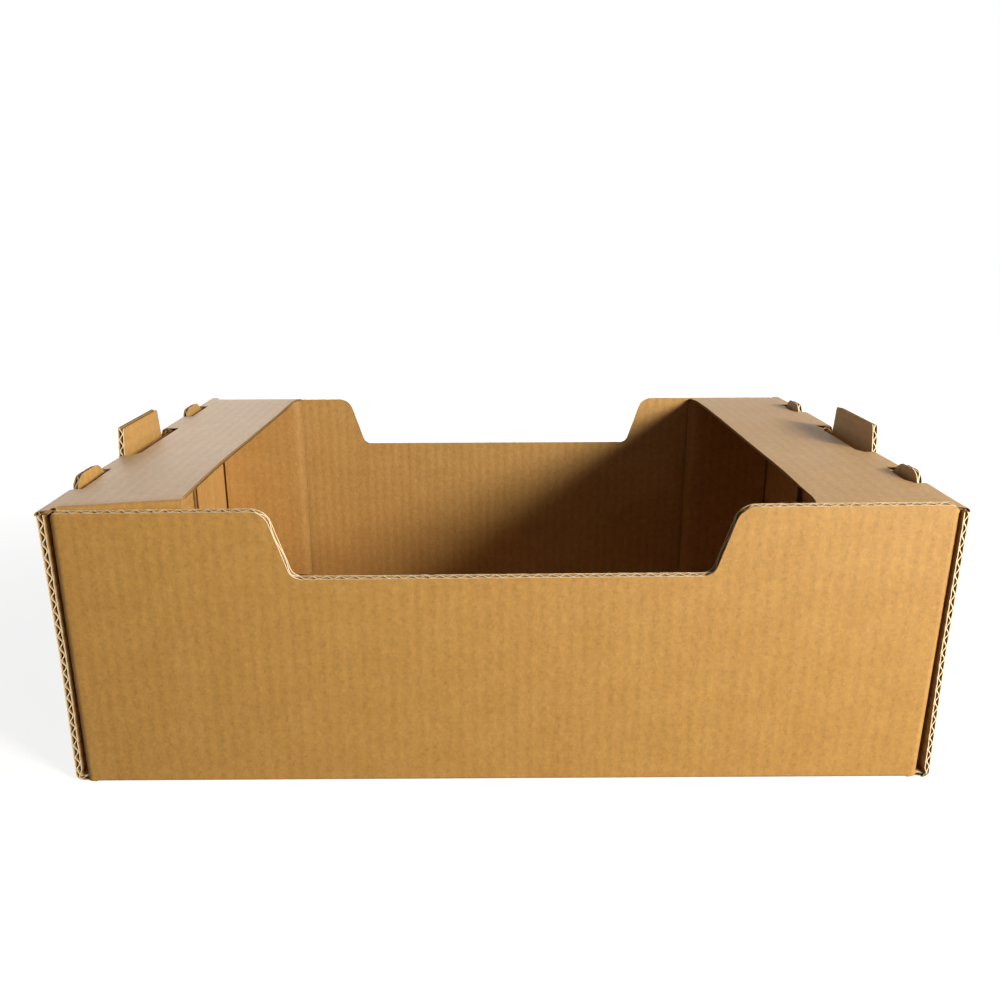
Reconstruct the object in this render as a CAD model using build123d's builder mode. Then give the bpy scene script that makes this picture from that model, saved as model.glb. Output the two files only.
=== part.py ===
from build123d import *
import os

# A die-cut tray of corrugated board, in its folded state. Lengths are millimetres.
# X runs along the tray, Y from the front wall (negative) to the back wall, Z up.
# The origin is on the floor, under the middle of the base.

# Overall form
tray_length = 400.0
tray_width = 260.0
wall_height = 133.0
board = 3.0

# Dip in the middle of each long wall
dip_depth = 31.4
dip_mouth = 205.8
dip_floor = 185.2
dip_mouth_radius = 8.0
dip_floor_radius = 6.0

# Creases, measured on the outside of each bend
base_crease_radius = 3.6
corner_crease_radius = 3.6
deck_crease_radius = 2.8
wing_crease_radius = 2.4

# Corner flaps, hinged on the ends of the long walls and lying inside the end walls
flap_length = 69.0
flap_gap = 0.4
flap_foot_gap = 0.6

# Decks, the shelves folded in from the tops of the end walls
deck_depth = 62.5
deck_rise = 1.6
deck_gap = 0.5
deck_notch_gap = 0.6

# Wings, hinged on the two ends of each deck and tucked down inside the long walls
wing_width = 65.3
wing_flare_length = 14.0
wing_side_gap = 0.8
wing_wall_gap = 0.4
wing_foot_gap = 1.0
wing_corner_radius = 3.0

# Large stacking tab, standing up from each end wall
large_tab_length = 58.0
large_tab_taper = 3.0
large_tab_rise = 13.8
large_tab_shift = -6.0
large_tab_corner_radius = 1.5

# Small stacking tabs, one on top of each corner flap
small_tab_length = 28.0
small_tab_taper = 3.0
small_tab_rise = 4.9
small_tab_spacing = 168.0
small_tab_corner_radius = 3.5

# Slots that let the tabs up through a deck
slot_depth = 10.0
slot_lead = 0.8
slot_corner_radius = 1.5
large_slot_slant = 5.0
large_slot_overrun = 8.0
small_slot_slant = 1.6
small_slot_overrun = 3.5

# Levels and faces that follow from the sizes above
deck_top = wall_height + deck_rise
deck_underside = deck_top - board
rim_height = deck_underside - deck_gap
end_face = tray_length / 2
end_inner_face = end_face - board
wall_face = tray_width / 2
flap_face = end_inner_face - flap_gap
flap_inner_face = flap_face - board
flap_foot = board + flap_foot_gap
wall_end = flap_face - corner_crease_radius
wing_face = wall_face - board - wing_wall_gap
wing_side = flap_inner_face - wing_side_gap
wing_edge = end_face - wing_width
wing_foot = board + wing_foot_gap
deck_edge = end_face - deck_depth
deck_notch = wall_end + deck_notch_gap
flare_start = wing_face - wing_flare_length
small_tab_middles = (-small_tab_spacing / 2, small_tab_spacing / 2)


def channel_section(span, height):
    """Section across the base and two opposite walls, bent round both creases."""
    with BuildSketch(mode=Mode.PRIVATE) as section:
        with BuildLine():
            FilletPolyline(
                (-span / 2, height),
                (-span / 2, 0),
                (span / 2, 0),
                (span / 2, height),
                radius=base_crease_radius,
            )
            offset(amount=board, side=Side.LEFT)
        make_face()
    return section.sketch


def tab_outline(middle, length, taper, top, corner_radius):
    """Face of a stacking tab that stands on the rim and narrows towards its top."""
    with BuildSketch(mode=Mode.PRIVATE) as outline:
        Polygon(
            (middle - length / 2, rim_height),
            (middle + length / 2, rim_height),
            (middle + length / 2 - taper, top),
            (middle - length / 2 + taper, top),
            align=None,
        )
        fillet(outline.vertices().group_by(Axis.Y)[-1], corner_radius)
    return outline.sketch


def slot_outline(middle, tab_length, slant, overrun):
    """Plan of a tab's slot, open through the fold, slanted in front and square at the back."""
    front = middle - tab_length / 2 - slot_lead
    back = middle + tab_length / 2 + overrun
    inner = end_face - slot_depth
    with BuildSketch(mode=Mode.PRIVATE) as outline:
        Polygon(
            (end_face + board, front),
            (wing_side, front),
            (inner, front + slant),
            (inner, back),
            (end_face + board, back),
            align=None,
        )
        fillet(outline.vertices().group_by(Axis.X)[0], slot_corner_radius)
    return outline.sketch


# Tray: base, long walls, end walls, corner flaps and stacking tabs, all folded from one sheet
with BuildPart() as tray:
    # Base and long walls
    with BuildSketch(Plane.YZ):
        add(channel_section(tray_width, wall_height))
    extrude(amount=wall_end, both=True)

    # A dip cut through both long walls, rounded where it meets the top edge
    with BuildSketch(Plane.XZ):
        with BuildLine():
            Polyline(
                (-wall_end, wall_height),
                (-dip_mouth / 2, wall_height),
                (-dip_floor / 2, wall_height - dip_depth),
                (dip_floor / 2, wall_height - dip_depth),
                (dip_mouth / 2, wall_height),
                (wall_end, wall_height),
                (wall_end, wall_height + board),
                (-wall_end, wall_height + board),
                close=True,
            )
        make_face()
        fillet(vertices().group_by(Axis.Y)[0], dip_floor_radius)
        fillet(vertices().filter_by_position(Axis.Y, wall_height, wall_height)
               .sort_by(Axis.X)[1:-1], dip_mouth_radius)
    extrude(amount=tray_width, both=True, mode=Mode.SUBTRACT)

    # End walls, whose raw front and back edges pass the ends of the long walls
    with BuildSketch(Plane.XZ):
        add(channel_section(tray_length, rim_height))
    extrude(amount=wall_face - base_crease_radius, both=True)
    with BuildSketch(Plane.XZ):
        add(channel_section(tray_length, rim_height))
        Rectangle(2 * flap_face, 2 * wall_height, mode=Mode.SUBTRACT)
    extrude(amount=wall_face, both=True)

    # Corner flaps, bent round from the ends of the long walls
    with BuildSketch(Plane.XY.offset(flap_foot)):
        with BuildLine():
            FilletPolyline(
                (wall_end - board, -wall_face),
                (flap_face, -wall_face),
                (flap_face, flap_length - wall_face),
                radius=corner_crease_radius,
            )
            offset(amount=board, side=Side.LEFT)
        make_face()
        mirror(about=Plane.XZ)
        mirror(about=Plane.YZ)
    extrude(amount=rim_height - flap_foot)

    # Stacking tabs
    for tab_side in (-end_face, end_inner_face):
        with BuildSketch(Plane.YZ.offset(tab_side)):
            add(tab_outline(large_tab_shift, large_tab_length, large_tab_taper,
                            deck_top + large_tab_rise, large_tab_corner_radius))
        extrude(amount=board)
    for tab_side in (-flap_face, flap_inner_face):
        with BuildSketch(Plane.YZ.offset(tab_side)):
            for tab_middle in small_tab_middles:
                add(tab_outline(tab_middle, small_tab_length, small_tab_taper,
                                deck_top + small_tab_rise, small_tab_corner_radius))
        extrude(amount=board)

# Right deck: a shelf with two wings, folded over from the top of the right end wall
with BuildPart() as right_deck:
    # Shelf, flared at both ends of its free edge to meet the wings
    with BuildSketch(Plane.XY.offset(deck_underside)):
        with BuildLine():
            flare = TangentArc((deck_edge, flare_start), (wing_edge, wing_face), tangent=(0, 1))
            Polyline(flare @ 1, (deck_notch, wing_face), (deck_notch, wall_face), (end_face, wall_face),
                     (end_face, 0))
            Line((deck_edge, 0), flare @ 0)
            mirror(about=Plane.XZ)
        make_face()
    extrude(amount=board)
    fillet(edges().filter_by(Axis.Y).group_by(Axis.Z)[-1].sort_by(Axis.X)[-1], deck_crease_radius)

    # Wings, standing on edge just inside the long walls
    for wing_plane in (Plane.XZ.offset(-wing_face), Plane.XZ.offset(wing_face - board)):
        with BuildSketch(wing_plane):
            with BuildLine():
                Polyline((wing_edge, deck_top), (wing_edge, wing_foot), (wing_side, wing_foot),
                         (wing_side, deck_top), close=True)
            make_face()
            fillet(vertices().group_by(Axis.Y)[0], wing_corner_radius)
        extrude(amount=board)
    wing_creases = edges().filter_by(Axis.X).group_by(Axis.Z)[-1].sort_by(Edge.length)[-2:]
    fillet(wing_creases, wing_crease_radius)

    # Slots for the large tab and the two small ones
    with BuildSketch(Plane.XY.offset(deck_underside)):
        add(slot_outline(large_tab_shift, large_tab_length, large_slot_slant, large_slot_overrun))
        for tab_middle in small_tab_middles:
            add(slot_outline(tab_middle, small_tab_length, small_slot_slant, small_slot_overrun))
    extrude(amount=board, mode=Mode.SUBTRACT)

# Left deck, the mirror image
with BuildPart() as left_deck:
    add(mirror(right_deck.part, about=Plane.YZ))

os.makedirs("parts", exist_ok=True)
for name, piece in (("tray", tray), ("left_deck", left_deck), ("right_deck", right_deck)):
    piece.part.label = name
    export_step(piece.part, f"parts/{name}.step")
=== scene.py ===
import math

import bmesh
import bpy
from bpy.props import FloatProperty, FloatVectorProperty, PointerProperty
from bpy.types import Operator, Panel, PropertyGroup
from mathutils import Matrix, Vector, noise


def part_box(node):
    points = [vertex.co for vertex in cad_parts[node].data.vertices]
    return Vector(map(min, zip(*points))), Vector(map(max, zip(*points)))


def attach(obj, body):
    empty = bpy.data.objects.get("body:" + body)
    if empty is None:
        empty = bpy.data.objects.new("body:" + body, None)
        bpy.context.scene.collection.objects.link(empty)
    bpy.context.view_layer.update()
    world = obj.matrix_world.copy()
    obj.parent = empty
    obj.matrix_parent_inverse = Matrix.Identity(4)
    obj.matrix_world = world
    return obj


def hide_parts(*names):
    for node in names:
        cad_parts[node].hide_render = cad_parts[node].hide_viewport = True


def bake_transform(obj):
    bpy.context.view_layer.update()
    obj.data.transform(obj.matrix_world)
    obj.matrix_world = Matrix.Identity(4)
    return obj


bl_info = {
    "name": "Corrugated Tray",
    "version": (1, 0, 0),
    "blender": (4, 5, 0),
    "location": "View3D > Sidebar > Tray",
    "description": "Builds a die-cut tray of corrugated board around its packed model",
    "category": "Object",
}

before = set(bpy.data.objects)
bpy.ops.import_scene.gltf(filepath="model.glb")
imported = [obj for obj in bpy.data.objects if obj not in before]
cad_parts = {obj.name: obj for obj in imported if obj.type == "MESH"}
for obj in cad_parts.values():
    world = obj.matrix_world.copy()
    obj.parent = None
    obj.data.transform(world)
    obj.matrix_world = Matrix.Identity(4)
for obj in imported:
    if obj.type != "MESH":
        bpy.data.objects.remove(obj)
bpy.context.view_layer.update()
TRAY_LOW, TRAY_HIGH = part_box("tray")
DECK_LOW, DECK_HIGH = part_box("right_deck")

MM = 0.001
QUARTER = math.pi / 2
SIDES = (("left", -1), ("right", 1))
ENDS = (("front", -1), ("back", 1))
# Materials of every piece of board, in the order of its slots
MATERIALS = ("Kraft liner", "Raw edge", "Fluting and painted shade", "Inner liner")
# The fluting slot is the fluted sheet's own colour and also painted shade on dark cut edges
FACE, RAW, FLUTING_AND_SHADE, INNER = range(4)

# Flat run between the end of a long wall's own mesh and its corner crease
JOINT = 1.5 * MM
# Places on the flat sheet that are nearer than this count as one
CLOSE = 0.01 * MM
# A corner that is nearer than this to a cut across the sheet lies on it
CUT_TOLERANCE = 1e-7
# How far from a crease or a seam the board is still squeezed, and its washboard still calm
SQUEEZE_SPREAD = 2.5 * MM
CALM_SPREAD = 5 * MM
# Share of its thickness that the board loses at a cut along its flutes, and how far in that fades
EDGE_CRUSH = 0.5
EDGE_SPREAD = 5 * MM
# Steps that a crease, a rounded corner and a deck's flare are drawn with
BEND_STEPS = 6
CORNER_STEPS = 6
FLARE_STEPS = 6
# Cuts across the flutes of a deck and its fold, which let them bend and twist
STRIPS = [k * 9 * MM for k in range(-14, 15)]
# Edges between faces that turn more than this are sharp
SHARP_ANGLE = math.radians(38)
# How quickly the noise changes with place: across the flutes, at a cut edge and over a deck. The
# last number of each keeps the flutes, the slabs of the board and the two decks apart in it.
FLUTE_NOISE, FLUTE_PLACE = 55.0, (3.7, 1.3)
CUT_NOISE, SLAB_NOISE = 700.0, 7.7
WAVE_NOISE = (22.0, 12.0, 5.3)

# Where each departure from the true folds starts and is full, counted outwards from the middle
CORNER_LEAN_X, CORNER_LEAN_Y = (150 * MM, 188 * MM), (60 * MM, 120 * MM)
CLIMB_Y = (90 * MM, 120 * MM)
INSET_X, INSET_Y = (159 * MM, 189 * MM), (104 * MM, 126 * MM)
FRONT_PRESS_Y, BACK_PRESS_Y = (55 * MM, 130 * MM), (85 * MM, 130 * MM)
# Where the left deck's turn starts and is full round its fold, and the decks' wave above the rim
TURN_REACH = (-2.2 * MM, 2.8 * MM)
WAVE_REACH = (0.3 * MM, 3.3 * MM)
# How far inside the corner of its fold a deck turns, and a little less, which tells fold from deck
PIVOT_INSET = 0.8 * MM
FOLD_MARGIN = 0.7 * MM

# Height of the lower edge of the upright creases, and how far round them it rises to the flap's
HEEL = 0.3 * MM
HEEL_STEP = (2.6 * MM, 3.6 * MM)
# How far past the flat of a deck its wing's wider free edge starts
WING_START = 4 * MM
# Where along a left flap its upper edge starts to lean out with its small tab
TAB_LEAN_START = 15 * MM
# Foot and top of the slanted shoulder beside each upright crease, counted from the end of the joint
SHOULDERS = {"left": (3.4 * MM, 1.6 * MM), "right": (2.2 * MM, -1.1 * MM)}
# Front end and back end of each small tab, and the slant of each end
TABS = {("left", "front"): (-98 * MM, -66.5 * MM, 8 * MM, 3 * MM),
        ("right", "front"): (-93.5 * MM, -67.5 * MM, 3 * MM, 9 * MM),
        ("left", "back"): (66 * MM, 97.5 * MM, 3 * MM, 9 * MM),
        ("right", "back"): (71.5 * MM, 98 * MM, 3 * MM, 8 * MM)}


def size(name, default, description, **more):
    """A length in metres, written here in millimetres."""
    return FloatProperty(name=name, default=default * MM, description=description,
                         subtype="DISTANCE", unit="LENGTH", precision=5, **more)


def number(name, default, description, **more):
    return FloatProperty(name=name, default=default, description=description, precision=4, **more)


def colour(name, default, description):
    return FloatVectorProperty(name=name, default=default, description=description,
                               subtype="COLOR", size=3, min=0.0, max=1.0)


class BoardSizes(PropertyGroup):
    """Corrugated board: two liners and the fluted sheet between them."""

    thickness: size("Board", 3.0, "Thickness of the board")
    pitch: size("Flute pitch", 6.2, "Length of one flute")
    liner: size("Liner", 0.45, "Thickness of each liner")
    medium: size("Fluted sheet", 0.50, "Thickness of the fluted sheet")
    washboard: size("Washboard", 0.06, "How far the outer liner sinks between two flutes")
    inner_washboard: size("Inner washboard", 0.13, "How far the inner liner sinks there")
    wander: number("Wander", 0.5, "How far a flute strays from its place, in radians")
    ragged: size("Ragged cut", 0.16, "How far a cut edge strays from its line")
    cut_slope: size("Cut slope", 0.8, "How far the inner liner stands out past the outer at a cut")
    back_slope: number("Back slope", -0.6, "Share of the cut slope at cuts where it stands back")
    crushed: number("Crushed crease", 0.66, "Thickness left in a crease, as a share of its radius")
    steps: number("Steps", 8, "Steps that one flute is drawn with")


class TraySizes(PropertyGroup):
    """Base, walls, corner flaps and tabs."""

    length: size("Length", (TRAY_HIGH.x - TRAY_LOW.x) / MM, "Length over the end walls")
    width: size("Width", (TRAY_HIGH.y - TRAY_LOW.y) / MM, "Width over the long walls")
    wall_height: size("Wall height", 133.0, "Height of the long walls")
    dip_depth: size("Dip depth", 31.4, "Depth of the dip in each long wall")
    dip_mouth: size("Dip mouth", 205.8, "Width of the dip at the top")
    dip_floor: size("Dip floor", 185.2, "Width of the dip at the bottom")
    dip_mouth_radius: size("Dip mouth radius", 8.0, "Rounding of the dip's upper corners")
    dip_floor_radius: size("Dip floor radius", 6.0, "Rounding of the dip's lower corners")
    base_crease: size("Base crease", 1.4, "Outer radius of the creases under the long walls")
    end_crease: size("End crease", 3.0, "Outer radius of the creases under the end walls")
    corner_crease: size("Corner crease", 3.6, "Outer radius of the upright creases")
    flap_length: size("Flap length", 69.0, "Length of a corner flap")
    short_flap: size("Short flap", 65.0, "Length of the left back corner flap")
    flap_gap: size("Flap gap", 0.4, "Gap between an end wall and its flaps")
    flap_foot: size("Flap foot", 3.6, "Height of a flap's lower edge")
    rim: size("Rim", 131.1, "Height where the end walls stop and the folds start")
    large_tab_length: size("Large tab length", 58.0, "Length of a large tab at its foot")
    large_tab_shift: size("Large tab shift", -6.0, "Place of a large tab along the end wall")
    tab_bend: size("Tab bend", 4.0, "Height over the rim in which a leaning tab bends")
    large_tab_top: size("Large tab top", TRAY_HIGH.z / MM, "Height of a large tab's top")
    large_tab_corner: size("Large tab corner", 1.5, "Rounding of a large tab's upper corners")
    small_tab_top: size("Small tab top", 138.2, "Height of a small tab's top")
    small_tab_corner: size("Small tab corner", 6.0, "Rounding of a small tab's upper corners")
    tab_taper: size("Tab taper", 3.0, "Slant of each end of a tab")


class DeckSizes(PropertyGroup):
    """Decks and their wings."""

    top: size("Deck top", DECK_HIGH.z / MM, "Height of a deck's upper face")
    depth: size("Deck depth", 62.5, "Depth of a deck from the end wall's outer face")
    crease: size("Deck crease", 3.4, "Outer radius of the fold over the end wall")
    wing_crease: size("Wing crease", 2.4, "Outer radius of the fold from deck to wing")
    wing_face: size("Wing face", 126.6, "Distance from the middle to a wing's outer face")
    wing_side: size("Wing side", 7.2, "Inset of a wing's fixed edge from the end wall's outer face")
    wing_width: size("Wing width", (DECK_HIGH.x - DECK_LOW.x) / MM, "Inset of a wing's free edge")
    wing_foot: size("Wing foot", DECK_LOW.z / MM, "Height of a wing's lower edge")
    wing_corner: size("Wing corner", 3.0, "Rounding of a wing's lower corners")
    washboard: number("Deck washboard", 0.12, "Share of the board's washboard on a deck's faces")
    flare: size("Flare", 14.0, "Length of the flare where a deck's free edge meets a wing")
    left_flare: size("Left flare", 0.8, "How much wider than its deck the left front wing is")
    right_wing_trim: size("Right wing trim", 1.0, "How much narrower the right front wing is")
    notch: size("Notch", 6.4, "Inset where a deck narrows to pass between the long walls")
    slot_depth: size("Slot depth", 10.0, "Depth of a slot from the end wall's outer face")
    shallow_slot: size("Shallow slot", 7.4, "Depth of the left deck's small slots")
    slot_lead: size("Slot lead", 0.8, "Gap between a tab's front end and its slot")
    slot_corner: size("Slot corner", 1.5, "Rounding of a slot's inner corners")
    large_slant: size("Large slant", 5.0, "Slant of a large slot's front end")
    large_overrun: size("Large overrun", 8.0, "Room behind a large tab in its slot")
    left_slant: size("Left slant", 10.0, "Slant of the front end of the left deck's small slots")
    right_slant: size("Right slant", 5.5, "Slant of the front end of the right deck's small slots")
    left_overrun: size("Left overrun", 1.6, "Room behind a small tab in the left deck's slots")
    right_overrun: size("Right overrun", 0.8, "Room behind a small tab in the right deck's slots")


class FoundShape(PropertyGroup):
    """How this tray departs from its true folds."""

    left_lift: size("Left lift", 3.4, "How far the left deck's free edge stands up at the front")
    left_press: size("Left press", 1.1, "How far the left fold is pressed down at the front")
    right_press: size("Right press", 1.3, "How far the right fold is pressed down at the front")
    back_press: size("Back press", 1.0, "How far the right fold is pressed down at the back")
    left_trim: size("Left trim", 2.0, "How much narrower the left deck is")
    right_trim: size("Right trim", 0.7, "How much narrower the right deck is")
    lean: size("Lean", 0.8, "How far each end wall leans out at the top")
    corner_lean: size("Corner lean", 1.2, "How far the right front corner leans out at the top")
    corner_inset: size("Corner inset", 1.2, "How far in the left front corner stands")
    tab_lean: size("Tab lean", 2.6, "How far the left small tabs lean out")
    tab_trim: size("Tab trim", 2.2, "How much shorter the right large tab is at its front end")
    tab_drop: size("Tab drop", 1.2, "How much lower the right large tab is")
    set_back: size("Set back", 1.6, "How far behind the front wall the left end wall starts")
    wave: size("Deck wave", 0.25, "How far the decks' faces stray from flat")
    tilt: number("Tilt", 0.005, "How steeply the front wall's top edge climbs to the right")


class BoardColours(PropertyGroup):
    """Colours of the board."""

    kraft: colour("Kraft", (0.465, 0.229, 0.046), "Kraft liner")
    pale: colour("Pale kraft", (0.507, 0.260, 0.058), "Pale patches of the liner")
    inner: colour("Inner kraft", (0.485, 0.252, 0.066), "Liner on the board's inner side")
    inner_pale: colour("Pale inner kraft", (0.528, 0.284, 0.081), "Pale patches of the inner liner")
    dark: colour("Dark kraft", (0.80, 0.76, 0.68), "Tint of the ragged dots on the liner")
    raw: colour("Raw edge", (0.80, 0.65, 0.46), "Cut edges of the paper")
    fuzz: colour("Fuzz", (0.58, 0.41, 0.23), "Darker fibres of the cut edges")
    # Dark fluting colour; on cut edges it is also painted shade of the board's open hollows
    fluting_and_shade: colour("Fluting and painted shade", (0.30, 0.19, 0.10), "Fluted sheet inside the board")


class StageSettings(PropertyGroup):
    """Camera, lamps and ground."""

    camera_place: FloatVectorProperty(name="Camera place", default=(-0.007492, -0.500302, 0.2492),
                                      description="Where the camera stands", subtype="TRANSLATION")
    camera_pitch: number("Camera pitch", 0.294, "How far the camera looks down", subtype="ANGLE")
    camera_yaw: number("Camera yaw", -0.003, "How far the camera turns", subtype="ANGLE")
    camera_roll: number("Camera roll", -0.004, "How far the camera leans", subtype="ANGLE")
    camera_lens: number("Lens", 32.64, "Focal length in millimetres")
    camera_sensor: number("Sensor", 36.0, "Width of the sensor in millimetres")
    camera_shift: FloatVectorProperty(name="Camera shift", default=(0.0121, 0.0007), size=2,
                                      description="Shift of the picture, as a share of its width")
    floor_colour: colour("Floor colour", (0.30, 0.30, 0.30), "What the floor throws back")
    near_glow: number("Near glow", 0.86, "Glow of the floor by the tray, which only the camera sees")
    glow_reach: FloatVectorProperty(name="Glow reach", default=(0.25, 0.75), size=2, unit="LENGTH",
                                    description="How far out the glow starts to rise and is full")


class FoldPath:
    """The outer face of a folded board, seen edge on: straight runs and creases that turn left."""

    def __init__(self, start, heading, steps):
        """Each step is a radius and an angle, or 0 and the length of a straight run."""
        self.steps = []
        point, along = Vector(start), 0.0
        for radius, amount in steps:
            length = radius * amount if radius else amount
            self.steps.append((along, along + length, point.copy(), heading, radius))
            along += length
            if radius:
                centre = point + radius * self.left(heading)
                heading += amount
                point = centre - radius * self.left(heading)
            else:
                point = point + length * Vector((math.cos(heading), math.sin(heading)))
        self.length = along

    @staticmethod
    def left(heading):
        return Vector((-math.sin(heading), math.cos(heading)))

    def place(self, along, depth):
        """The point at a distance along the outer face and a depth under it."""
        for first, last, point, heading, radius in self.steps:
            if along <= last:
                break
        travel = along - first
        if radius and travel > 0:
            centre = point + radius * self.left(heading)
            return centre - (radius - depth) * self.left(heading + travel / radius)
        ahead = Vector((math.cos(heading), math.sin(heading)))
        return point + travel * ahead + depth * self.left(heading)

    def squeeze(self, along, thickness, share_left, spread):
        """The share of its thickness that the board keeps, smaller where a crease crushes it."""
        share = 1.0
        for first, last, _, _, radius in self.steps:
            if radius:
                away = max(first - along, along - last, 0.0)
                crushed = min(1.0, share_left * radius / thickness)
                share = min(share, crushed + (1.0 - crushed) * smooth(away / spread))
        return share

    def calm(self, along, spread):
        """How much of the washboard is left, none of it in a crease."""
        away = [max(first - along, along - last, 0.0)
                for first, last, _, _, radius in self.steps if radius]
        return min(smooth((reach - MM) / spread) for reach in away)

    def creases(self, steps):
        """Places to cut a sheet across, so that it can bend round each crease."""
        places = []
        for first, last, _, _, radius in self.steps:
            if radius:
                places += [first + (last - first) * k / steps for k in range(steps + 1)]
        return places


def smooth(x):
    """Eases from 0 to 1, and stays level outside."""
    x = min(max(x, 0.0), 1.0)
    return x * x * (3.0 - 2.0 * x)


def fade(value, start, full):
    """Eases from 0 at the start to 1 where it is full."""
    return smooth((value - start) / (full - start))


def skins(board, flute, calm):
    """Depth of each of the board's six skins under the outer face, at a place across the flutes."""
    stray = board.wander * noise.noise(Vector((flute * FLUTE_NOISE, *FLUTE_PLACE)))
    wave = math.cos(math.tau * flute / board.pitch + stray)
    slope = math.tau / board.pitch * math.sin(math.tau * flute / board.pitch + stray)
    swing = board.thickness / 2 - board.liner - board.medium / 2
    half = board.medium / 2 * math.sqrt(1.0 + (swing * slope) ** 2)
    middle = board.thickness / 2 - swing * wave
    sunk_out = calm * board.washboard * (1.0 - wave) / 2
    sunk_in = calm * board.inner_washboard * (1.0 + wave) / 2
    return (sunk_out, board.liner + sunk_out, middle - half, middle + half,
            board.thickness - board.liner - sunk_in, board.thickness - sunk_in)


def round_corner(sheet, corner, radius):
    """Rounds one corner of a flat outline."""
    near = [edge.other_vert(corner).co - corner.co for edge in corner.link_edges]
    turn = math.pi - near[0].angle(near[1])
    bmesh.ops.bevel(sheet, geom=[corner], offset=radius * math.tan(turn / 2),
                    segments=CORNER_STEPS, affect="VERTICES", profile=0.5, material=-1)


def cut_outline(outlines):
    """A flat sheet. Each outline lists its corners: along, across and a radius if it is rounded."""
    sheet = bmesh.new()
    for outline in outlines:
        corners = [sheet.verts.new((point[0], point[1], 0.0)) for point in outline]
        sheet.faces.new(corners)
        rounded = [(corner, point[2]) for corner, point in zip(corners, outline) if len(point) > 2]
        for corner, radius in rounded:
            round_corner(sheet, corner, radius)
    bmesh.ops.recalc_face_normals(sheet, faces=sheet.faces)
    return sheet


def kept(result, kind):
    """What an operator gives back, of one kind."""
    return [item for item in result["geom"] if isinstance(item, kind)]


def cut_across(sheet, places, axis):
    """Cuts a flat sheet into strips at these places, without moving it."""
    normal = Vector((0.0, 0.0, 0.0))
    normal[axis] = 1.0
    rest = list(sheet.faces)
    for place in sorted(places):
        plane = Vector((0.0, 0.0, 0.0))
        plane[axis] = place
        geometry = set(rest)
        for face in rest:
            geometry.update(face.verts)
            geometry.update(face.edges)
        cut = bmesh.ops.bisect_plane(sheet, geom=list(geometry), dist=CUT_TOLERANCE, plane_co=plane,
                                     plane_no=normal)
        rest = [face for face in kept(cut, bmesh.types.BMFace)
                if max(vert.co[axis] for vert in face.verts) > place + CUT_TOLERANCE]
        if not rest:
            break


def corrugate(sheet, cut, flute_axis):
    """Turns a flat sheet into three slabs, one above the other, and marks their cut edges.

    The slabs are the outer liner, the fluted sheet and the inner liner. Their six skins lie at the
    levels 0 to 5. A cut along the flutes always gets the fluted sheet's dark colour, which is
    painted shade for the open board behind it.
    """
    first = list(sheet.faces)
    copies = [first]
    for level in (2, 4):
        copy = bmesh.ops.duplicate(sheet, geom=list(set(first) | sheet_parts(first)))
        bmesh.ops.translate(sheet, verts=kept(copy, bmesh.types.BMVert), vec=(0.0, 0.0, level))
        copies.append(kept(copy, bmesh.types.BMFace))
    for slot, faces in zip((FACE, FLUTING_AND_SHADE, INNER), copies):
        for face in faces:
            face.material_index = slot
        raised = bmesh.ops.extrude_face_region(sheet, geom=faces, use_keep_orig=True)
        bmesh.ops.translate(sheet, verts=kept(raised, bmesh.types.BMVert), vec=(0.0, 0.0, 1.0))
    sheet.normal_update()
    for face in sheet.faces:
        upright = abs(face.normal.z) < 0.5
        if upright:
            along_flutes = abs(face.normal[flute_axis]) > 0.99
            # A cut along the flutes is given the dark fluting colour, painted shade for the open
            # board
            face.material_index = FLUTING_AND_SHADE if along_flutes else cut


def sheet_parts(faces):
    """The corners and edges of these faces."""
    parts = set()
    for face in faces:
        parts.update(face.verts)
        parts.update(face.edges)
    return parts


def cut_directions(sheet):
    """The way out at each corner on the rim of a flat sheet, mitred where two edges meet."""
    found = {}
    for edge in sheet.edges:
        if len(edge.link_faces) == 1:
            first, second = edge.verts
            out = (second.co - first.co).cross(Vector((0.0, 0.0, 1.0))).normalized()
            if out.dot(edge.link_faces[0].calc_center_median() - first.co) > 0:
                out.negate()
            for vert in edge.verts:
                found.setdefault(place_key(vert.co), []).append(out)
    directions = {}
    for key, outs in found.items():
        total = sum(outs, Vector((0.0, 0.0, 0.0)))
        directions[key] = total * 2.0 / max(total.length_squared, 1.0)
    return directions


def place_key(point):
    """A place on the flat sheet, rounded so that it can be found again."""
    return round(point[0], 7), round(point[1], 7)


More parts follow.
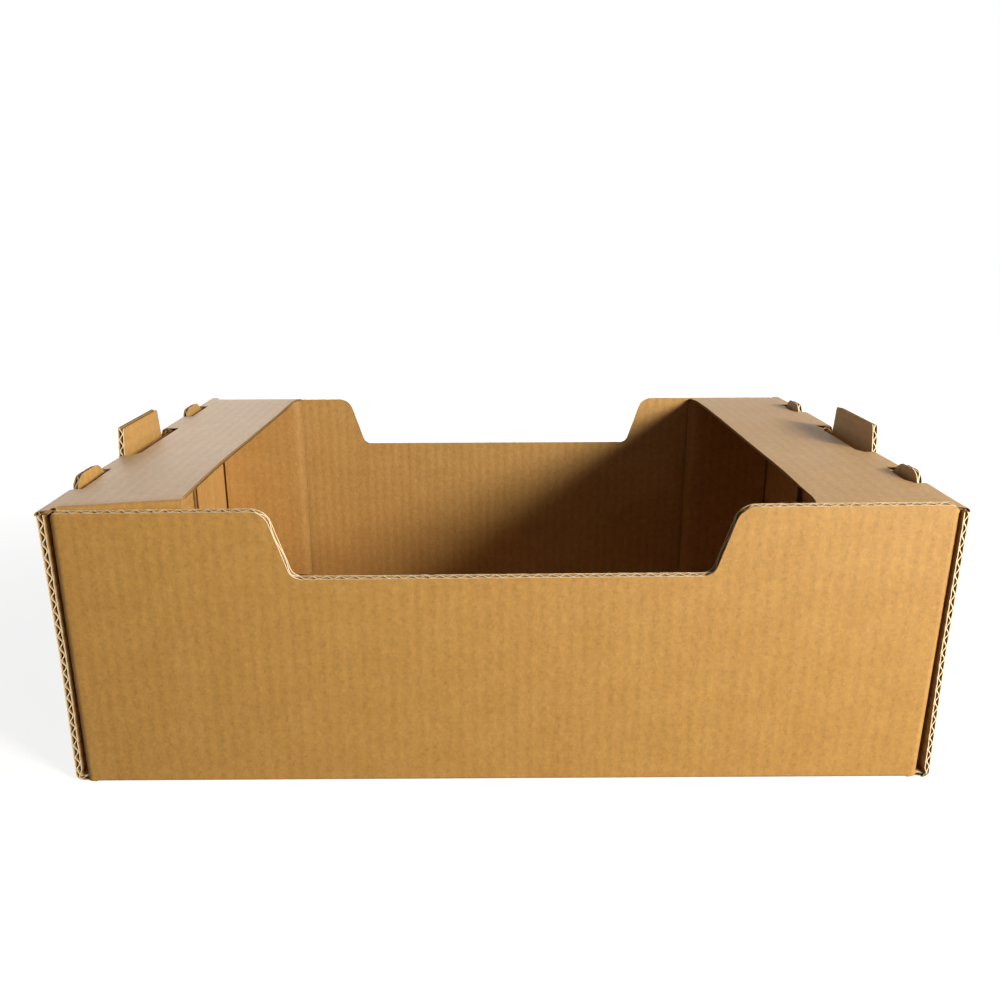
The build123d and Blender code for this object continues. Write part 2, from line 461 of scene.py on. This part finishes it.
def make_board(name, outlines, path, settings, lay, flute_of, flutes_along, grain_of=None,
               crush_of=None, calm_of=None, held=None, lean_in=False, cut=RAW, extra_cuts=(),
               cross_cuts=()):
    """A piece of board: cut out flat, fluted, and folded along its path.

    A place on the flat sheet is along the path and across it. lay puts it in space, at a depth
    under the outer face. flute_of and grain_of turn a place across and along the flutes into one on
    the whole blank. crush_of and calm_of give the share of thickness and of washboard that is left.

    At a seam with another piece, held gives the axis along which a corner stays put. Where lean_in
    is set, the inner liner stands back at a cut instead of out. cut is the material of the cuts
    across the flutes; the fluting material there is painted shade. extra_cuts and cross_cuts cut the
    sheet finer, along the path and across it.
    """
    board = settings.board
    sheet = cut_outline(outlines)
    flute_axis = 1 if flutes_along else 0
    values = [vert.co[flute_axis] for vert in sheet.verts]
    step = board.pitch / board.steps
    first, last = math.ceil(min(values) / step), math.floor(max(values) / step)
    cut_across(sheet, [k * step for k in range(first, last + 1)], flute_axis)
    cut_across(sheet, path.creases(BEND_STEPS) + list(extra_cuts), 0)
    cut_across(sheet, cross_cuts, 1)
    rim = cut_directions(sheet)
    corrugate(sheet, cut, flute_axis)
    layer = sheet.loops.layers.uv.new("Blank")
    flat = {vert: vert.co.copy() for vert in sheet.verts}
    for face in sheet.faces:
        for loop in face.loops:
            along, across, _ = flat[loop.vert]
            place, grain = (across, along) if flutes_along else (along, across)
            loop[layer].uv = (flute_of(place), grain_of(grain) if grain_of else grain)
    for vert, (along, across, level) in flat.items():
        flute = flute_of(across if flutes_along else along)
        calm = calm_of(along, across) if calm_of else 1.0
        if not flutes_along:
            calm *= path.calm(along, CALM_SPREAD)
        depth = skins(board, flute, calm)[round(level)]
        out = rim.get(place_key((along, across)))
        if out:
            slab = round(level) // 2
            rough = noise.noise(Vector((along * CUT_NOISE, across * CUT_NOISE, slab * SLAB_NOISE)))
            slope = board.back_slope * board.cut_slope if lean_in else board.cut_slope
            reach = board.ragged * rough + slope * depth / board.thickness
            still = held(along, across) if held else None
            if still != 0:
                along += out.x * reach
            if still != 1:
                across += out.y * reach
        depth *= path.squeeze(flat[vert].x, board.thickness, board.crushed, SQUEEZE_SPREAD)
        if crush_of:
            depth *= crush_of(along, across)
        vert.co = lay(along, across, depth)
    bmesh.ops.recalc_face_normals(sheet, faces=sheet.faces)
    mesh = bpy.data.meshes.new(name)
    sheet.to_mesh(mesh)
    sheet.free()
    mesh.shade_smooth()
    mesh.set_sharp_from_angle(angle=SHARP_ANGLE)
    for material in MATERIALS:
        mesh.materials.append(bpy.data.materials[material])
    piece = bpy.data.objects.new(name, mesh)
    bpy.context.scene.collection.objects.link(piece)
    return piece


def tint(colours, name):
    """One of the board's colours, with full cover."""
    return (*getattr(colours, name), 1.0)


def grey(level):
    """An even grey, with full cover."""
    return (level, level, level, 1.0)


def new_material(name):
    material = bpy.data.materials.new(name)
    material.use_nodes = True
    tree = material.node_tree
    return material, tree, tree.nodes["Principled BSDF"]


def link(tree, source, output, target, socket):
    tree.links.new(source.outputs[output], target.inputs[socket])


def set_sockets(node, values):
    """Sets a node's own values, by the names of their sockets."""
    for socket, value in values.items():
        node.inputs[socket].default_value = value


def noise_node(tree, coordinates, scale, detail, roughness, stretch=(1.0, 1.0, 1.0)):
    """A noise pattern on the blank's own coordinates, stretched along the fibres."""
    mapping = tree.nodes.new("ShaderNodeMapping")
    set_sockets(mapping, {"Scale": stretch})
    link(tree, coordinates, "UV", mapping, "Vector")
    pattern = tree.nodes.new("ShaderNodeTexNoise")
    set_sockets(pattern, {"Scale": scale, "Detail": detail, "Roughness": roughness})
    link(tree, mapping, "Vector", pattern, "Vector")
    return pattern


def ramp_node(tree, pattern, low, high, start, end, output="Fac"):
    """Blends two colours or greys as a pattern goes from start to end."""
    ramp = tree.nodes.new("ShaderNodeValToRGB")
    first, last = ramp.color_ramp.elements
    first.position, first.color = start, low
    last.position, last.color = end, high
    link(tree, pattern, output, ramp, "Fac")
    return ramp


def multiply_node(tree, paper, layer):
    """Lays a layer over the paper's colour."""
    mix = tree.nodes.new("ShaderNodeMix")
    mix.data_type = "RGBA"
    mix.blend_type = "MULTIPLY"
    mix.inputs["Factor"].default_value = 1.0
    tree.links.new(paper, mix.inputs["A"])
    link(tree, layer, "Color", mix, "B")
    return mix.outputs["Result"]


def make_liner(colours, board, name, low, high):
    """A liner: cloudy colour, flute stripes of glue and painted shade, ragged dark dots, pale
    flecks.
    """
    _, tree, shader = new_material(name)
    coordinates = tree.nodes.new("ShaderNodeTexCoord")
    clouds = noise_node(tree, coordinates, scale=60.0, detail=4.0, roughness=0.6)
    base = ramp_node(tree, clouds, tint(colours, low), tint(colours, high), start=0.35, end=0.70)
    glue_and_shade_stripes = tree.nodes.new("ShaderNodeTexWave")
    # The wave texture's stripes lie a full turn over 20 times its scale apart, here one flute
    set_sockets(glue_and_shade_stripes, {"Scale": math.tau / board.pitch / 20.0, "Distortion": 3.4, "Detail": 3.0,
                       "Detail Scale": 3.0, "Detail Roughness": 0.7})
    link(tree, coordinates, "UV", glue_and_shade_stripes, "Vector")
    # Slightly darker stripes: darker glue lines, partly painted shade of the washboard hollows
    glue_and_shade_tone = ramp_node(tree, glue_and_shade_stripes, grey(0.972), grey(1.010), start=0.1, end=0.8)
    blotches = noise_node(tree, coordinates, scale=330.0, detail=2.0, roughness=0.55,
                          stretch=(1.25, 0.8, 1.0))
    blotch = ramp_node(tree, blotches, grey(0.915), grey(1.06), start=0.32, end=0.68)
    dots = noise_node(tree, coordinates, scale=560.0, detail=3.0, roughness=0.72)
    off_ribs = tree.nodes.new("ShaderNodeMath")
    off_ribs.operation = "MULTIPLY_ADD"
    link(tree, glue_and_shade_stripes, "Fac", off_ribs, 0)
    off_ribs.inputs[1].default_value = -0.10
    link(tree, dots, "Fac", off_ribs, 2)
    dot = ramp_node(tree, off_ribs, grey(1.0), tint(colours, "dark"), start=0.46, end=0.72,
                    output="Value")
    flecks = noise_node(tree, coordinates, scale=740.0, detail=2.0, roughness=0.6,
                        stretch=(1.0, 0.7, 1.0))
    fleck = ramp_node(tree, flecks, grey(0.985), grey(1.13), start=0.52, end=0.78)
    grains = noise_node(tree, coordinates, scale=1300.0, detail=2.0, roughness=0.6)
    grain = ramp_node(tree, grains, grey(0.93), grey(1.06), start=0.25, end=0.75)
    paper = base.outputs["Color"]
    for layer in (glue_and_shade_tone, blotch, dot, fleck, grain):
        paper = multiply_node(tree, paper, layer)
    tree.links.new(paper, shader.inputs["Base Color"])
    set_sockets(shader, {"Roughness": 0.52, "Specular IOR Level": 0.76, "Sheen Weight": 0.10,
                         "Sheen Roughness": 0.4})
    bump = tree.nodes.new("ShaderNodeBump")
    set_sockets(bump, {"Strength": 0.4, "Distance": 0.12 * MM})
    link(tree, grains, "Fac", bump, "Height")
    link(tree, bump, "Normal", shader, "Normal")


def make_rough_paper(colours, name, low, high, scale, start, end):
    """Paper without a liner's finish, mottled with two colours."""
    _, tree, shader = new_material(name)
    coordinates = tree.nodes.new("ShaderNodeTexCoord")
    fuzz = noise_node(tree, coordinates, scale, detail=3.0, roughness=0.7)
    paper = ramp_node(tree, fuzz, tint(colours, low), tint(colours, high), start, end)
    link(tree, paper, "Color", shader, "Base Color")
    set_sockets(shader, {"Roughness": 0.95, "Specular IOR Level": 0.2})


def walls_path(tray):
    """Front wall, base and back wall, in the plane across the tray."""
    upright = tray.wall_height - tray.base_crease
    floor = tray.width - 2 * tray.base_crease
    return FoldPath((-tray.width / 2, tray.wall_height), -QUARTER,
                    ((0, upright), (tray.base_crease, QUARTER), (0, floor),
                     (tray.base_crease, QUARTER), (0, upright)))


def wall_end(tray, board):
    """Half the length of the long walls' flat part."""
    return tray.length / 2 - board.thickness - tray.flap_gap - tray.corner_crease


def left_inset(settings, point):
    """How far in the left front corner stands at a place near it."""
    return settings.found.corner_inset * fade(-point.x, *INSET_X) * fade(-point.y, *INSET_Y)


def front_shape(settings, point):
    """Lets the front wall climb to the right, its right corner lean out, its left stand in."""
    tray, found = settings.tray, settings.found
    if point.y < 0:
        share = point.z / tray.wall_height
        corner = fade(point.x, *CORNER_LEAN_X) * fade(-point.y, *CORNER_LEAN_Y)
        climb = found.tilt * point.x * share * fade(-point.y, *CLIMB_Y)
        lean = found.corner_lean * (2.0 * share - 1.0) * corner
        return point + Vector((lean + left_inset(settings, point), 0.0, climb))
    return point


class TRAY_OT_walls(Operator):
    """Base and long walls, with a dip in each wall"""

    bl_idname = "tray.walls"
    bl_label = "Long walls"

    def execute(self, context):
        settings = context.scene.tray
        tray, board = settings.tray, settings.board
        path = walls_path(tray)
        end = wall_end(tray, board) - JOINT
        front = ((0.0, -end), (0.0, -tray.dip_mouth / 2, tray.dip_mouth_radius),
                 (tray.dip_depth, -tray.dip_floor / 2, tray.dip_floor_radius),
                 (tray.dip_depth, tray.dip_floor / 2, tray.dip_floor_radius),
                 (0.0, tray.dip_mouth / 2, tray.dip_mouth_radius), (0.0, end))
        back = [(path.length - point[0], *point[1:]) for point in reversed(front)]

        def lay(along, across, depth):
            y, z = path.place(along, depth)
            return front_shape(settings, Vector((across, y, z)))

        piece = make_board("long_walls", [list(front) + back], path, settings, lay,
                           flute_of=lambda x: x, flutes_along=True,
                           calm_of=lambda along, x: smooth((end - abs(x)) / CALM_SPREAD),
                           held=lambda along, x: 1 if abs(x) > end - CLOSE else None)
        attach(piece, "tray")
        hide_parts("tray")
        return {"FINISHED"}


class TRAY_OT_flaps(Operator):
    """Corner flaps, bent round from the ends of the long walls, with their small tabs"""

    bl_idname = "tray.flaps"
    bl_label = "Corner flaps"

    def execute(self, context):
        settings = context.scene.tray
        tray, board = settings.tray, settings.board
        end = wall_end(tray, board) - JOINT
        path = FoldPath((end, -tray.width / 2), 0.0,
                        ((0, JOINT), (tray.corner_crease, QUARTER),
                         (0, tray.flap_length - tray.corner_crease)))
        blank = walls_path(tray).length
        # Where along the path the flap would reach the tray's middle
        middle = path.steps[1][1] - tray.corner_crease + tray.width / 2
        foot, top, rim = tray.flap_foot, tray.wall_height, tray.rim
        for side_name, side in SIDES:
            shoulder_foot, shoulder_top = SHOULDERS[side_name]
            for end_name, way in ENDS:
                front, back, front_slant, back_slant = TABS[side_name, end_name]
                ends = ((front, front_slant), (back, back_slant))
                (low, low_slant), (high, high_slant) = ends if way < 0 else reversed(ends)
                low, high = middle - abs(low), middle - abs(high)
                reach = path.length
                if side < 0 < way:
                    reach -= tray.flap_length - tray.short_flap
                outline = [(0.0, HEEL), (JOINT + HEEL_STEP[0], HEEL), (JOINT + HEEL_STEP[1], foot),
                           (reach, foot), (reach, rim), (high, rim),
                           (high - high_slant, tray.small_tab_top, tray.small_tab_corner),
                           (low + low_slant, tray.small_tab_top, tray.small_tab_corner), (low, rim),
                           (JOINT + shoulder_foot, rim), (JOINT + shoulder_top, top), (0.0, top)]

                def lay(along, across, depth):
                    x, y = path.place(along, depth)
                    if side < 0 and along > TAB_LEAN_START:
                        x += settings.found.tab_lean * fade(across, rim, rim + tray.tab_bend)
                    above_floor = max(across, 0.0)
                    return front_shape(settings, Vector((side * x, -way * y, above_floor)))

                def grain(z):
                    return tray.wall_height - z if way < 0 else blank - tray.wall_height + z

                piece = make_board(f"{side_name}_{end_name}_flap", [outline], path, settings, lay,
                                   flute_of=lambda along: side * (end + along),
                                   flutes_along=False, grain_of=grain,
                                   held=lambda along, z: 0 if along < CLOSE else None)
                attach(piece, "tray")
        return {"FINISHED"}


def end_path(tray, board, top):
    """From under the base's end, round the crease and up the end wall."""
    start = wall_end(tray, board) - JOINT
    return FoldPath((start, 0.0), 0.0,
                    ((0, tray.length / 2 - tray.end_crease - start), (tray.end_crease, QUARTER),
                     (0, top - tray.end_crease)))


def fold_path(tray, deck):
    """From the rim of an end wall, round the fold and onto the deck."""
    rise = deck.top - deck.crease - tray.rim
    return FoldPath((tray.length / 2, tray.rim), QUARTER,
                    ((0, rise), (deck.crease, QUARTER), (0, deck.wing_side - deck.crease)))


def fold_start(tray, board):
    """How far across the flutes the fold starts, counted from the middle of the base."""
    return wall_end(tray, board) - JOINT + end_path(tray, board, tray.rim).length


def lean_out(settings, point):
    """Leans an end wall out a little towards its top."""
    tray = settings.tray
    share = 2.0 * min(point.z, tray.rim) / tray.rim - 1.0
    if abs(point.x) > wall_end(tray, settings.board):
        point.x += math.copysign(settings.found.lean * share, point.x)
    return point


class TRAY_OT_end_walls(Operator):
    """End walls, folded up from the base, each with its large stacking tab"""

    bl_idname = "tray.end_walls"
    bl_label = "End walls"

    def execute(self, context):
        settings = context.scene.tray
        tray, board = settings.tray, settings.board
        path = end_path(tray, board, tray.large_tab_top)
        start = wall_end(tray, board) - JOINT
        rim = end_path(tray, board, tray.rim).length
        corner = tray.length / 2 - board.thickness - tray.flap_gap - start
        half, narrow = tray.width / 2, tray.width / 2 - tray.base_crease
        foot = [tray.large_tab_shift + k * tray.large_tab_length / 2 for k in (-1, 1)]
        for side_name, side in SIDES:
            near = half - settings.found.set_back if side < 0 else half
            front = foot[0] if side < 0 else foot[0] + settings.found.tab_trim
            top = path.length if side < 0 else path.length - settings.found.tab_drop
            outline = [(0.0, -narrow), (corner, -narrow), (corner, -near), (rim, -near),
                       (rim, front), (top, front + tray.tab_taper, tray.large_tab_corner),
                       (top, foot[1] - tray.tab_taper, tray.large_tab_corner), (rim, foot[1]),
                       (rim, half), (corner, half), (corner, narrow), (0.0, narrow)]

            def lay(along, across, depth):
                x, z = path.place(along, depth)
                point = lean_out(settings, Vector((side * x, across, z)))
                point.x += left_inset(settings, point) * (1.0 - smooth(along / corner))
                return point

            def held(along, y):
                return 0 if along < CLOSE or abs(along - rim) < CLOSE else None

            piece = make_board(f"{side_name}_end_wall", [outline], path, settings, lay,
                               flute_of=lambda along: side * (start + along), flutes_along=False,
                               calm_of=lambda along, y: smooth((rim - along - MM) / CALM_SPREAD),
                               held=held, lean_in=side < 0)
            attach(piece, "tray")
        return {"FINISHED"}


def slots(settings, side_name):
    """Front end, back end, depth and slant of each slot in a deck, from back to front."""
    tray, deck = settings.tray, settings.deck
    depth = deck.shallow_slot if side_name == "left" else deck.slot_depth
    overrun = deck.left_overrun if side_name == "left" else deck.right_overrun
    slant = deck.left_slant if side_name == "left" else deck.right_slant
    back, front = (TABS[side_name, end] for end in ("back", "front"))
    middle, half = tray.large_tab_shift, tray.large_tab_length / 2
    return ((back[0] - deck.slot_lead, back[1] + overrun, depth, slant),
            (middle - half - deck.slot_lead, middle + half + deck.large_overrun, deck.slot_depth,
             deck.large_slant),
            (front[0] - deck.slot_lead, front[1] + overrun, depth, slant))


def crushed_edge(away):
    """The share of its thickness that the board keeps near a cut along its flutes."""
    return 1.0 - EDGE_CRUSH * (1.0 - smooth(away / EDGE_SPREAD))


def settle(settings, side, point):
    """Presses each deck's ends down a little and lifts the left deck's free edge at the front."""
    tray, deck, found = settings.tray, settings.deck, settings.found
    pivot = Vector((tray.length / 2 - PIVOT_INSET, deck.top - PIVOT_INSET))
    inboard, height = pivot.x - abs(point.x), point.z - pivot.y
    front = fade(-point.y, *FRONT_PRESS_Y)
    back = fade(point.y, *BACK_PRESS_Y)
    low = tray.rim if inboard < deck.wing_side - FOLD_MARGIN else deck.wing_foot
    share = min(max((point.z - low) / (deck.top - low), 0.0), 1.0)
    if side < 0:
        angle = found.left_lift / deck.depth * smooth(0.5 - point.y / tray.width)
        drop = found.left_press * front
    else:
        angle = 0.0
        drop = found.right_press * front + found.back_press * back
    if inboard < deck.wing_side:
        angle *= fade(inboard + height, *TURN_REACH)
    by_width, by_depth, by_side = WAVE_NOISE
    stray = noise.noise(Vector((point.y * by_width, inboard * by_depth, side * by_side)))
    drop += found.wave * stray * fade(point.z - tray.rim, *WAVE_REACH)
    turned = (inboard * math.cos(angle) - height * math.sin(angle),
              inboard * math.sin(angle) + height * math.cos(angle))
    return Vector((math.copysign(pivot.x - turned[0], point.x), point.y,
                   pivot.y + turned[1] - drop * share))


class TRAY_OT_folds(Operator):
    """Strips of board between the slots, folded over from each end wall to its deck"""

    bl_idname = "tray.folds"
    bl_label = "Deck folds"

    def execute(self, context):
        settings = context.scene.tray
        tray, deck, board = settings.tray, settings.deck, settings.board
        path = fold_path(tray, deck)
        start = fold_start(tray, board)
        half = tray.width / 2
        notch = path.length - (deck.wing_side - deck.notch)
        for side_name, side in SIDES:
            ends = [end for slot in slots(settings, side_name) for end in slot[:2]]
            edges = sorted([-half, half] + ends)
            outlines = []
            for low, high in zip(edges[::2], edges[1::2]):
                inner = [(path.length, min(high, deck.wing_face)),
                         (path.length, max(low, -deck.wing_face))]
                if high == half:
                    inner = [(notch, half), (notch, deck.wing_face)] + inner
                if low == -half:
                    inner = inner + [(notch, -deck.wing_face), (notch, -half)]
                outlines.append([(0.0, low), (0.0, high)] + inner)

            def lay(along, across, depth):
                x, z = path.place(along, depth)
                point = settle(settings, side, Vector((side * x, across, z)))
                return lean_out(settings, point)

            def held(along, y):
                at_deck = along > path.length - CLOSE and abs(y) <= deck.wing_face
                return 0 if along < CLOSE or at_deck else None

            past_crease = [path.steps[-1][0] + k * MM for k in (1, 2, 3)]
            # The folds' cuts across the flutes take the dark fluting colour, painted shade on these
            # edges
            piece = make_board(f"{side_name}_fold", outlines, path, settings, lay,
                               flute_of=lambda along: side * (start + along), flutes_along=False,
                               calm_of=lambda along, y: 0.0, held=held, lean_in=True, cut=FLUTING_AND_SHADE,
                               extra_cuts=past_crease, cross_cuts=STRIPS)
            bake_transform(piece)
        return {"FINISHED"}


class TRAY_OT_decks(Operator):
    """Decks, each with two wings folded down inside the long walls"""

    bl_idname = "tray.decks"
    bl_label = "Decks"

    def execute(self, context):
        settings = context.scene.tray
        tray, deck, board = settings.tray, settings.deck, settings.board
        upright = deck.top - deck.wing_crease - deck.wing_foot
        flat = 2 * (deck.wing_face - deck.wing_crease)
        path = FoldPath((deck.wing_face, deck.wing_foot), QUARTER,
                        ((0, upright), (deck.wing_crease, QUARTER), (0, flat),
                         (deck.wing_crease, QUARTER), (0, upright)))
        middle = path.length / 2
        start = fold_start(tray, board) + fold_path(tray, deck).length - deck.wing_side

        def crush(along, inset):
            on_wing = abs(along - middle) > flat / 2 + WING_START
            return crushed_edge((deck.wing_width if on_wing else deck.depth) - inset)

        def calm(along, inset):
            return deck.washboard * smooth((inset - deck.wing_side - MM) / CALM_SPREAD)

        def held(along, inset):
            at_fold = abs(inset - deck.wing_side) < CLOSE and abs(along - middle) < deck.wing_face
            return 1 if at_fold else None

        for side_name, side in SIDES:

            def lay(along, inset, depth):
                y, z = path.place(along, depth)
                point = Vector((side * (tray.length / 2 - inset), y, z))
                return lean_out(settings, settle(settings, side, point))

            fixed_edge = [(path.length, deck.wing_side, deck.wing_corner)]
            for low, high, depth, slant in reversed(slots(settings, side_name)):
                fixed_edge += [(middle - low, deck.wing_side),
                               (middle - low - slant, depth, deck.slot_corner),
                               (middle - high, depth, deck.slot_corner),
                               (middle - high, deck.wing_side)]
            fixed_edge.append((0.0, deck.wing_side, deck.wing_corner))
            outline = self.free_edge(settings, side, path) + fixed_edge
            # The decks' cuts across the flutes take the dark fluting colour, painted shade on these
            # edges
            piece = make_board(f"{side_name}_deck_board", [outline], path, settings, lay,
                               flute_of=lambda inset: side * (start + inset), flutes_along=True,
                               grain_of=lambda along: middle - along, crush_of=crush, calm_of=calm,
                               held=held, lean_in=True, cut=FLUTING_AND_SHADE,
                               extra_cuts=[middle + strip for strip in STRIPS])
            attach(piece, f"{side_name}_deck")
            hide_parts(f"{side_name}_deck")
        return {"FINISHED"}

    def free_edge(self, settings, side, path):
        """The free edge from the back wing's foot to the front's, flared where a wing starts."""
        deck, found = settings.deck, settings.found
        if side < 0:
            depth = deck.depth - found.left_trim
            front = depth + deck.left_flare
        else:
            depth = deck.depth - found.right_trim
            front = deck.wing_width - deck.right_wing_trim
        middle = path.length / 2
        edge = []
        for way, inset in ((-1, deck.wing_width), (1, front)):
            spread = inset - depth
            radius = (spread ** 2 + deck.flare ** 2) / (2 * spread)
            flare = []
            for k in range(FLARE_STEPS + 1):
                reach = deck.flare * k / FLARE_STEPS
                curve = depth + radius - math.sqrt(radius ** 2 - reach ** 2)
                flare.append((middle + way * (deck.wing_face - deck.flare + reach), curve))
            flare.append((middle + way * path.length / 2, inset, deck.wing_corner))
            edge += reversed(flare) if way < 0 else flare
        return edge


# The point that every lamp is turned to
LAMP_TARGET = (0.0, 0.0, 0.08)
# Name, place, width in metres, power in watts and colour of each lamp
LAMPS = (
    ("Key", (1.10, -0.95, 0.668), 0.34, 29.5, (1.0, 0.98, 0.86)),
    ("Side", (1.15, -0.30, 0.42), 0.4, 5.0, (0.88, 1.0, 1.0)),
    ("Back", (-0.50, 0.80, 0.42), 0.5, 1.4, (1.0, 0.98, 0.93)),
    ("Front", (0.70, -1.00, 0.25), 0.5, 4.4, (1.0, 1.0, 1.0)),
)
# Half the floor's width, and how far it lies under the base, which keeps the two faces apart
FLOOR_REACH = 6.0
FLOOR_DROP = 0.2 * MM
# The nearest and the farthest that the camera sees
CAMERA_CLIP = (0.01, 50.0)


def area_lamp(name, place, width, power, tone):
    lamp = bpy.data.lights.new(name, "AREA")
    lamp.size = width
    lamp.energy = power
    lamp.color = tone
    item = bpy.data.objects.new(name, lamp)
    item.location = place
    item.rotation_mode = "QUATERNION"
    item.rotation_quaternion = (Vector(LAMP_TARGET) - Vector(place)).to_track_quat("-Z", "Y")
    bpy.context.scene.collection.objects.link(item)


class TRAY_OT_stage(Operator):
    """Floor, lamps, world and camera"""

    bl_idname = "tray.stage"
    bl_label = "Stage"

    def execute(self, context):
        stage = context.scene.tray.stage
        self.make_floor(stage)
        self.make_world(context.scene)
        for lamp in LAMPS:
            area_lamp(*lamp)
        camera = bpy.data.cameras.new("Camera")
        camera.sensor_width = stage.camera_sensor
        camera.lens = stage.camera_lens
        camera.shift_x, camera.shift_y = stage.camera_shift
        camera.clip_start, camera.clip_end = CAMERA_CLIP
        item = bpy.data.objects.new("Camera", camera)
        item.location = stage.camera_place
        turn = (Matrix.Rotation(stage.camera_yaw, 3, "Z")
                @ Matrix.Rotation(QUARTER - stage.camera_pitch, 3, "X")
                @ Matrix.Rotation(stage.camera_roll, 3, "Z"))
        item.rotation_euler = turn.to_euler()
        context.scene.collection.objects.link(item)
        context.scene.camera = item
        context.scene.view_settings.view_transform = "Standard"
        return {"FINISHED"}

    def make_floor(self, stage):
        """A pale floor that takes the tray's shadow, and that the camera sees nearly white."""
        sheet = bmesh.new()
        bmesh.ops.create_grid(sheet, x_segments=1, y_segments=1, size=FLOOR_REACH)
        bmesh.ops.translate(sheet, verts=sheet.verts, vec=(0.0, 0.0, -FLOOR_DROP))
        mesh = bpy.data.meshes.new("Floor")
        sheet.to_mesh(mesh)
        sheet.free()
        floor = bpy.data.objects.new("Floor", mesh)
        bpy.context.scene.collection.objects.link(floor)
        material, tree, shader = new_material("Pale floor")
        set_sockets(shader, {"Base Color": (*stage.floor_colour, 1.0), "Roughness": 0.95,
                             "Specular IOR Level": 0.0})
        coordinates = tree.nodes.new("ShaderNodeTexCoord")
        away = tree.nodes.new("ShaderNodeVectorMath")
        away.operation = "LENGTH"
        link(tree, coordinates, "Object", away, "Vector")
        spread = tree.nodes.new("ShaderNodeMapRange")
        spread.interpolation_type = "SMOOTHSTEP"
        near, far = stage.glow_reach
        set_sockets(spread, {"From Min": near, "From Max": far, "To Min": stage.near_glow,
                             "To Max": 1.0})
        link(tree, away, "Value", spread, "Value")
        glow = tree.nodes.new("ShaderNodeEmission")
        rays = tree.nodes.new("ShaderNodeLightPath")
        seen = tree.nodes.new("ShaderNodeMath")
        seen.operation = "MULTIPLY"
        link(tree, rays, "Is Camera Ray", seen, 0)
        link(tree, spread, "Result", seen, 1)
        link(tree, seen, "Value", glow, "Strength")
        both = tree.nodes.new("ShaderNodeAddShader")
        link(tree, shader, "BSDF", both, 0)
        link(tree, glow, "Emission", both, 1)
        link(tree, both, "Shader", tree.nodes["Material Output"], "Surface")
        mesh.materials.append(material)

    def make_world(self, scene):
        """A white world that the camera and reflections see, and that gives no other light."""
        world = bpy.data.worlds.new("Studio")
        scene.world = world
        world.use_nodes = True
        tree = world.node_tree
        ground = tree.nodes["Background"]
        rays = tree.nodes.new("ShaderNodeLightPath")
        seen = tree.nodes.new("ShaderNodeMath")
        seen.operation = "MAXIMUM"
        link(tree, rays, "Is Camera Ray", seen, 0)
        link(tree, rays, "Is Glossy Ray", seen, 1)
        link(tree, seen, "Value", ground, "Strength")
        set_sockets(ground, {"Color": grey(1.0)})


class TRAY_OT_finishes(Operator):
    """Liner, raw edge and fluting materials; the dark fluting one is also painted shade on cut edges
    """

    bl_idname = "tray.finishes"
    bl_label = "Finishes"

    def execute(self, context):
        colours, board = context.scene.tray.colours, context.scene.tray.board
        make_liner(colours, board, MATERIALS[FACE], "kraft", "pale")
        make_liner(colours, board, MATERIALS[INNER], "inner", "inner_pale")
        make_rough_paper(colours, MATERIALS[RAW], "fuzz", "raw", scale=1400.0, start=0.30, end=0.55)
        # Mottled from kraft to a dark brown, the fluting colour that is also painted shade on cut
        # edges
        make_rough_paper(colours, MATERIALS[FLUTING_AND_SHADE], "kraft", "fluting_and_shade", scale=700.0, start=0.3,
                         end=0.6)
        return {"FINISHED"}


class TRAY_PT_panel(Panel):
    """Lists the tray's settings and pieces"""

    bl_idname = "TRAY_PT_panel"
    bl_label = "Corrugated tray"
    bl_space_type = "VIEW_3D"
    bl_region_type = "UI"
    bl_category = "Tray"

    def draw(self, context):
        settings = context.scene.tray
        for group in (settings.board, settings.tray, settings.deck, settings.found,
                      settings.colours, settings.stage):
            box = self.layout.box()
            for name in group.bl_rna.properties.keys():
                if name not in {"rna_type", "name"}:
                    box.prop(group, name)
        for operator in OPERATORS:
            self.layout.operator(operator.bl_idname)


class TraySettings(PropertyGroup):
    """All settings of the tray."""

    board: PointerProperty(type=BoardSizes, name="Board", description="Corrugated board")
    tray: PointerProperty(type=TraySizes, name="Tray", description="Base, walls, flaps and tabs")
    deck: PointerProperty(type=DeckSizes, name="Decks", description="Decks and wings")
    found: PointerProperty(type=FoundShape, name="Found shape",
                           description="Departures from true folds")
    colours: PointerProperty(type=BoardColours, name="Colours", description="Colours of the board")
    stage: PointerProperty(type=StageSettings, name="Stage", description="Camera, lamps and ground")


GROUPS = (BoardSizes, TraySizes, DeckSizes, FoundShape, BoardColours, StageSettings, TraySettings)
OPERATORS = (TRAY_OT_finishes, TRAY_OT_walls, TRAY_OT_flaps, TRAY_OT_end_walls, TRAY_OT_folds,
             TRAY_OT_decks, TRAY_OT_stage)
CLASSES = (*GROUPS, *OPERATORS, TRAY_PT_panel)


def register():
    for item in CLASSES:
        bpy.utils.register_class(item)
    bpy.types.Scene.tray = PointerProperty(type=TraySettings)


def unregister():
    del bpy.types.Scene.tray
    for item in reversed(CLASSES):
        bpy.utils.unregister_class(item)


def main():
    register()
    bpy.ops.tray.finishes()
    bpy.ops.tray.walls()
    bpy.ops.tray.flaps()
    bpy.ops.tray.end_walls()
    bpy.ops.tray.folds()
    bpy.ops.tray.decks()
    bpy.ops.tray.stage()


if __name__ == "__main__":
    main()
